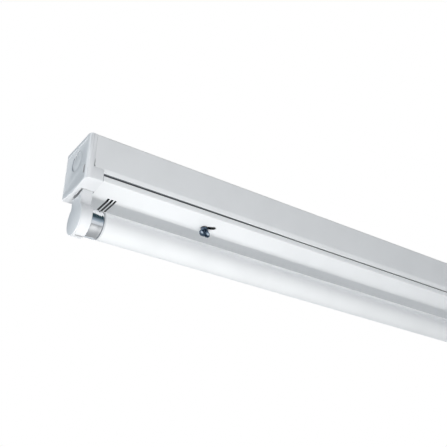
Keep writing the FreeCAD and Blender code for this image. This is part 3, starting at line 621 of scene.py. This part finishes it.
def ear_highlight(tree, colour):
    """A painted highlight on the zinc of each ear, bright in its middle."""
    x, _, z = place_of(tree)
    past_axis = value_of(tree, "SUBTRACT", value_of(tree, "ABSOLUTE", x), ear_axis)
    reach = reach_from(tree, value_of(tree, "ABSOLUTE", past_axis), ear_offset, z, ear_z)
    # Painted highlight: a bright patch in the middle of each ear
    highlight_share = remap(tree, reach, *ear_highlight_reach, ear_highlight_amount, 0.0)
    return blend_colour(tree, highlight_share, colour, ear_highlight_colour)


metal = {"Metallic": 1.0}

# Each finish: its name, pattern, colour, shade and gloss, the pattern's other settings, the bump's
# strength and distance, the dust, and the shader's own constants
finish_rows = {
    "white_enamel": ("PowderCoat", skin, (0.80, 0.81, 0.815), (0.775, 0.785, 0.79), (0.36, 0.46),
                     {"Grain Scale": 1400.0}, (0.12, 0.00003), 0.35),
    "white_moulding": ("WhiteMoulding", skin, (0.82, 0.83, 0.84), (0.79, 0.80, 0.81), (0.30, 0.38),
                       {"Grain Scale": 3200.0}, (0.06, 0.00001), 0.35),
    "phosphor_glass": ("LinedGlass", skin, (0.80, 0.81, 0.815), (0.775, 0.785, 0.79), (0.28, 0.33),
                       {"Grain Scale": 5000.0}, (0.0, 0.00001), 0.04),
    "clear_glass": ("ClearGlass", skin, (0.95, 0.97, 0.97), (0.9, 0.93, 0.93), (0.02, 0.05),
                    None, (0.02, 0.00001), 0.0, {"Transmission Weight": 0.9, "IOR": 1.5}),
    "tube_cap_metal": ("DrawnAluminium", lines, (0.86, 0.87, 0.88), (0.80, 0.81, 0.83), (0.10, 0.2),
                       {"Stretch": (1.0, 0.02, 0.02), "Scale": 4000.0}, (0.06, 0.00001), 0.15,
                       metal),
    "insulating_board": ("Laminate", skin, (0.30, 0.17, 0.09), (0.24, 0.13, 0.07), (0.45, 0.6),
                         {"Grain Scale": 1800.0, "Mottle Scale": 300.0}, (0.2, 0.00003)),
    "brass": ("Brass", lines, (0.72, 0.52, 0.24), (0.6, 0.42, 0.18), (0.15, 0.3),
              {"Scale": 3000.0}, (0.1, 0.00001), 0.0, metal),
    "bronze": ("SpringBronze", lines, (0.66, 0.40, 0.2), (0.5, 0.3, 0.15), (0.25, 0.4),
               {"Stretch": (0.05, 0.05, 1.0), "Scale": 3000.0}, (0.1, 0.00001), 0.0, metal),
    "bare_steel": ("ZincedSheet", lines, (0.62, 0.63, 0.64), (0.48, 0.50, 0.52), (0.3, 0.45),
                   {"Stretch": (0.04, 1.0, 1.0), "Scale": 1200.0}, (0.2, 0.00002), 0.2, metal),
    "zinc": ("BlueZinc", lines, (0.20, 0.26, 0.34), (0.06, 0.09, 0.13), (0.16, 0.32),
             {"Stretch": (0.6, 0.6, 1.0), "Scale": 900.0}, (0.25, 0.00004), 0.1, metal),
    "black_nylon": ("BlackNylon", skin, (0.018, 0.019, 0.022), (0.03, 0.03, 0.034), (0.4, 0.55),
                    {"Grain Scale": 2600.0}, (0.2, 0.00002), 0.2),
    "ballast_enamel": ("BallastEnamel", skin, (0.74, 0.74, 0.71), (0.69, 0.69, 0.66), (0.3, 0.42),
                       {"Grain Scale": 1100.0}, (0.15, 0.00003), 0.2),
    "circuit_board": ("BoardGreen", skin, (0.03, 0.14, 0.06), (0.05, 0.2, 0.08), (0.25, 0.4),
                      {"Mottle Scale": 500.0}, (0.15, 0.00002)),
    "grey_moulding": ("GreyMoulding", skin, (0.48, 0.49, 0.49), (0.44, 0.45, 0.45), (0.35, 0.5),
                      {"Grain Scale": 2800.0}, (0.12, 0.00002), 0.15),
    "grey_rubber": ("GreyRubber", skin, (0.035, 0.036, 0.038), (0.05, 0.05, 0.053), (0.6, 0.8),
                    {"Grain Scale": 2000.0}, (0.3, 0.00004), 0.4),
    "clip_nylon": ("NaturalNylon", skin, (0.72, 0.71, 0.66), (0.66, 0.65, 0.6), (0.4, 0.5),
                   None, (0.1, 0.00002), 0.0, {"Subsurface Weight": 0.1}),
}

# The sleeve of each wire: its slot, name, colour and shade
sleeve_gloss = (0.35, 0.45)
sleeve_dust = 0.1
sleeve_rows = (
    ("white_wire", "WhiteSleeve", (0.74, 0.74, 0.73), (0.68, 0.68, 0.66)),
    ("brown_wire", "BrownSleeve", (0.10, 0.04, 0.02), (0.075, 0.03, 0.015)),
    ("blue_wire", "BlueSleeve", (0.02, 0.07, 0.30), (0.015, 0.055, 0.24)),
    ("green_wire", "GreenSleeve", (0.06, 0.24, 0.04), (0.05, 0.2, 0.035)))

finishes = {slot: finish(*row) for slot, row in finish_rows.items()}
for slot, name, colour, shade in sleeve_rows:
    finishes[slot] = finish(name, skin, colour, shade, sleeve_gloss, dusty=sleeve_dust)

# The cover, the lids and the end caps get a copy of their own, and print, painted shade and painted
# light are laid on
cover_finish = finishes["white_enamel"].copy()
cover_finish.name = "PrintedPowderCoat"
cover_paint = cover_finish.node_tree.nodes["Pattern"].inputs
cover_paint["Colour"].default_value = (0.85, 0.86, 0.865, 1.0)
cover_paint["Shade"].default_value = (0.825, 0.835, 0.84, 1.0)
repaint(cover_finish, cover_bars)
repaint(cover_finish, seam_shade)
repaint(cover_finish, foot_shade)
repaint(finishes["white_enamel"], lip_shade)
repaint(finishes["white_enamel"], joint_shade)
lid_finish = finishes["white_moulding"].copy()
lid_finish.name = "WhiteMouldingLid"
repaint(lid_finish, throat_shade)
repaint(finishes["phosphor_glass"], powder_ends)
repaint(finishes["zinc"], ear_highlight)
cap_finish = finishes["white_moulding"].copy()
cap_finish.name = "WhiteMouldingCap"
repaint(cap_finish, groove_shade)

slot_of = {part["node"]: part["material_slot"] for part in frame["record"]["subparts"]}
for name, node in nodes.items():
    for slot in node.material_slots:
        slot.material = cover_finish if name == "gear_cover" else finishes[slot_of[name]]


def dress(piece, body, *replaced, paint=None):
    """Gives a piece its finish, its body, and the nodes that it stands for."""
    slot = slot_of[replaced[0]]
    piece.data.materials.clear()
    piece.data.materials.append(paint or finishes[slot])
    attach(piece, body)
    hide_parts(*replaced)


# Pieces

ends = ("left", "right")

# Each piece inside: its node, how it was made, and how far its edges are rounded
inner_edges = (
    ("cable_grommet", "moulded", 0.4 * mm), ("ballast_case", "pressed", 0.5 * mm),
    ("ballast_terminals_left", "moulded", 0.3 * mm),
    ("ballast_terminals_right", "moulded", 0.3 * mm),
    ("ballast_screws", "headed", 0.3 * mm), ("terminal_block", "moulded", 0.35 * mm),
    ("earth_nut", "machined", 0.25 * mm), ("earth_stud", "rolled", 0.2 * mm),
    ("earth_ring", "stamped", 0.08 * mm), ("wire_clips", "moulded", 0.15 * mm),
    ("gear_plate", "pressed", 0.12 * mm), ("cover_brackets", "pressed", 0.15 * mm),
    ("live_lead", "drawn", wire_edge), ("neutral_lead", "drawn", wire_edge),
    ("earth_lead", "drawn", wire_edge), ("ballast_earth_lead", "drawn", wire_edge))


def tube_pieces():
    """Glass with rounded shoulders, and its two metal caps with rolled edges."""
    wide = (glass_high.z - glass_low.z) / 2
    neck = tube_radius - neck_step
    bore = neck - glass_wall
    end = glass_high.x
    turn_x = glass_edge - shoulder_inset
    shoulder = [(turn_x + shoulder_round * (math.sin(turn) - 1),
                 wide + shoulder_round * shoulder_flatness * (math.cos(turn) - 1))
                for turn in shoulder_turns]
    half = shoulder + [(glass_edge, neck), (end, neck), (end, bore)]
    profile = [(-x, r) for x, r in reversed(half)] + half
    dress(turned("tube_glass_drawn", profile, 0), "tube", "tube_glass")
    # From the outer face along the outside, with a fine groove near the glass, and back inside
    length = ferrule_high.x - ferrule_low.x
    rim = tube_radius
    eased = rim - 0.12 * mm
    groove = rim - 0.14 * mm
    lip = rim - 1.3 * mm
    outline = [(0, lip), (0, rim - 0.8 * mm), (0.1 * mm, rim - 0.4 * mm), (0.35 * mm, eased),
               (0.8 * mm, rim), (length - 2.6 * mm, rim), (length - 2.3 * mm, groove),
               (length - 1.9 * mm, groove), (length - 1.6 * mm, rim), (length - 0.2 * mm, rim),
               (length, eased), (length, rim - ferrule_wall), (0.9 * mm, rim - ferrule_wall),
               (ferrule_wall, rim - 1.0 * mm), (ferrule_wall, lip)]
    left = turned("tube_cap_left", outline, ferrule_low.x)
    right = at_other_end(left, "tube_cap_right")
    dress(left, "tube", "tube_ferrule_left")
    dress(right, "tube", "tube_ferrule_right")


def soften(name, node, body, width, segments=2, paint=None):
    """A piece with the form of its CAD node and its sharp edges rounded."""
    piece = from_frame(name, node)
    round_edges(piece, width, segments)
    dress(piece, body, node, paint=paint)


def disc(name, radius, low_x, high_x):
    """A flat round bar along X on the knock-out's axis, to cut with or to shape further."""
    clear_selection()
    middle = ((low_x + high_x) / 2, 0, knockout_z)
    bpy.ops.mesh.primitive_cylinder_add(vertices=disc_sides, radius=radius, depth=high_x - low_x,
                                        location=middle, rotation=(0, math.pi / 2, 0))
    return settle(named(name))


def cap_pieces():
    """End caps with the sunk round knock-out and the fine groove of its thin web."""
    panel = cap_low.x + panel_depth
    left = from_frame("cap_left_moulded", "end_cap_left")
    cut(left, disc("knockout", knockout_radius, panel - overrun, panel + knockout_depth))
    ring = disc("knockout_groove", knockout_radius, panel - overrun / 2, panel + groove_depth)
    core = knockout_radius - groove_width
    cut(ring, disc("knockout_core", core, panel - overrun, panel + overrun))
    cut(left, ring)
    round_edges(left, cap_edge, near_steps)
    right = at_other_end(left, "cap_right_moulded")
    dress(left, "cap_left", "end_cap_left", paint=cap_finish)
    dress(right, "cap_right", "end_cap_right", paint=cap_finish)


def holder_pieces():
    """The lampholders with their lids and rotors."""
    for side in ends:
        soften("holder_" + side + "_moulded", "lampholder_body_" + side, "fixture", holder_edge,
               near_steps)
        soften("holder_lid_" + side + "_moulded", "lampholder_back_" + side, "fixture", lid_edge,
               paint=lid_finish)
        soften("rotor_" + side + "_moulded", "rotor_" + side, "rotor_" + side, rotor_edge)


def fastener_pieces():
    """The wing fasteners and their collars."""
    for side in ends:
        soften("wing_" + side + "_cast", "wing_fastener_" + side, "wing_" + side, wing_edge,
               near_steps)
    soften("fastener_collars", "fastener_bushes", "fixture", collar_edge, near_steps)


def inner_pieces():
    """The gear inside, the bush in the back, the leads and the ends of the tube."""
    for node, word, width in inner_edges:
        soften(node + "_" + word, node, "fixture", width)
    for side in ends:
        soften("lamp_leads_" + side + "_drawn", "lamp_leads_" + side, "fixture", wire_edge)
        soften("tube_pins_" + side + "_turned", "tube_pins_" + side, "tube", pin_edge, near_steps)
        soften("pin_disc_" + side + "_punched", "pin_insulator_" + side, "tube", pin_disc_edge)


tube_pieces()
cap_pieces()
holder_pieces()
fastener_pieces()
inner_pieces()


# Studio

# The camera, as fitted to the photograph
view_place = (-0.503350, -0.530067, -0.363599)
view_azimuth = math.radians(33.6228)
view_elevation = math.radians(27.6298)
view_roll = math.radians(1.3488)
view_sensor = 36
view_lens = 58.1509
view_clip = (10 * mm, 50)

# The floor, and how far it is lifted towards white
floor_size = 6
floor_z = -1.3
floor_lift = 0.65

# Light from all around. In reflections it goes from pale through blue to dark with height
ambient_colour = (0.93, 0.96, 1.0)
ambient_strength = 0.50
sky_pale = (0.74, 0.78, 0.82)
sky_blue = (0.34, 0.42, 0.50)
sky_dark = (0.03, 0.06, 0.075)
blue_height = (-0.10, 0.20)
dark_height = (0.12, 0.60)

# Each lamp: name, place, the point that it faces, size, power and colour
white = (1, 1, 1)
lamps = (
    ("key", (-0.36, -0.33, -0.70), (-0.22, 0, -0.05), 0.22, 3.2, white),
    ("floor_pool", (0.45, -1.0, -0.75), (0.45, -1.0, -1.3), 1.4, 5.9, white),
    ("front_fill", (-0.70, -1.20, -0.30), (-0.25, 0, -0.03), 1.0, 2.3, white),
    ("far_fill", (-0.20, 0.75, -0.90), (-0.10, 0.01, -0.05), 0.6, 1.35, white),
    ("end_fill", (-1.5, 0.25, 0.0), (-0.3, 0, -0.05), 0.8, 4.2, (0.8, 0.92, 1.0)))


def studio_world():
    """White behind the object, gentle light around it, and darkness overhead in reflections."""
    world = bpy.data.worlds.new("Studio")
    bpy.context.scene.world = world
    world.use_nodes = True
    tree = world.node_tree
    around = tree.nodes["Background"]
    around.inputs["Color"].default_value = (*ambient_colour, 1.0)
    around.inputs["Strength"].default_value = ambient_strength
    behind = add(tree, "ShaderNodeBackground")
    behind.inputs["Color"].default_value = (1, 1, 1, 1)
    mirrored = add(tree, "ShaderNodeBackground")
    _, _, height = parts_of(tree, add(tree, "ShaderNodeTexCoord").outputs["Generated"])
    low = blend_colour(tree, remap(tree, height, *blue_height), sky_pale, sky_blue)
    sky = blend_colour(tree, remap(tree, height, *dark_height), low, sky_dark)
    tree.links.new(sky, mirrored.inputs["Color"])
    path = add(tree, "ShaderNodeLightPath").outputs
    lit = mix_shaders(tree, path["Is Glossy Ray"], around.outputs[0], mirrored.outputs[0])
    direct = value_of(tree, "MAXIMUM", path["Is Camera Ray"], path["Is Transmission Ray"])
    tree.links.new(mix_shaders(tree, direct, lit, behind.outputs[0]),
                   tree.nodes["World Output"].inputs["Surface"])


def soft_lamp(name, place, aim, size, power, colour):
    """Square soft lamp that faces a point and isn't seen itself, nor in reflections."""
    clear_selection()
    bpy.ops.object.light_add(type="AREA", location=place)
    lamp = bpy.context.object
    lamp.name = name
    lamp.data.shape = "SQUARE"
    lamp.data.size = size
    lamp.data.energy = power
    lamp.data.color = colour
    lamp.rotation_euler = (Vector(aim) - Vector(place)).to_track_quat("-Z", "Y").to_euler()
    lamp.visible_camera = False
    lamp.visible_glossy = False


def floor():
    """Painted floor that keeps a soft shadow, lifted towards white where the camera sees it."""
    clear_selection()
    bpy.ops.mesh.primitive_plane_add(size=floor_size, location=(0, 0, floor_z))
    plane = settle(named("floor"))
    paint = finish("FloorPaint", skin, (0.82, 0.82, 0.81), (0.79, 0.79, 0.78), (0.6, 0.7),
                   {"Mottle Scale": 3.0, "Grain Scale": 300.0})
    tree = paint.node_tree
    seen = add(tree, "ShaderNodeLightPath").outputs["Is Camera Ray"]
    lifted = mix_shaders(tree, value_of(tree, "MULTIPLY", seen, floor_lift),
                         tree.nodes["Principled BSDF"].outputs[0],
                         add(tree, "ShaderNodeEmission").outputs[0])
    tree.links.new(lifted, tree.nodes["Material Output"].inputs["Surface"])
    plane.data.materials.append(paint)


def camera():
    """The photograph's view: from below and near the left end, looking up along the fixture."""
    look = Vector((math.sin(view_azimuth) * math.cos(view_elevation),
                   math.cos(view_azimuth) * math.cos(view_elevation), math.sin(view_elevation)))
    clear_selection()
    bpy.ops.object.camera_add(location=view_place)
    made = bpy.context.object
    made.rotation_mode = "QUATERNION"
    made.rotation_quaternion = look.to_track_quat("-Z", "Y") @ Quaternion((0, 0, 1), view_roll)
    made.data.sensor_width = view_sensor
    made.data.lens = view_lens
    made.data.clip_start, made.data.clip_end = view_clip
    bpy.context.scene.camera = made


studio_world()
for lamp in lamps:
    soft_lamp(*lamp)
floor()
camera()
bpy.context.scene.view_settings.view_transform = "Standard"
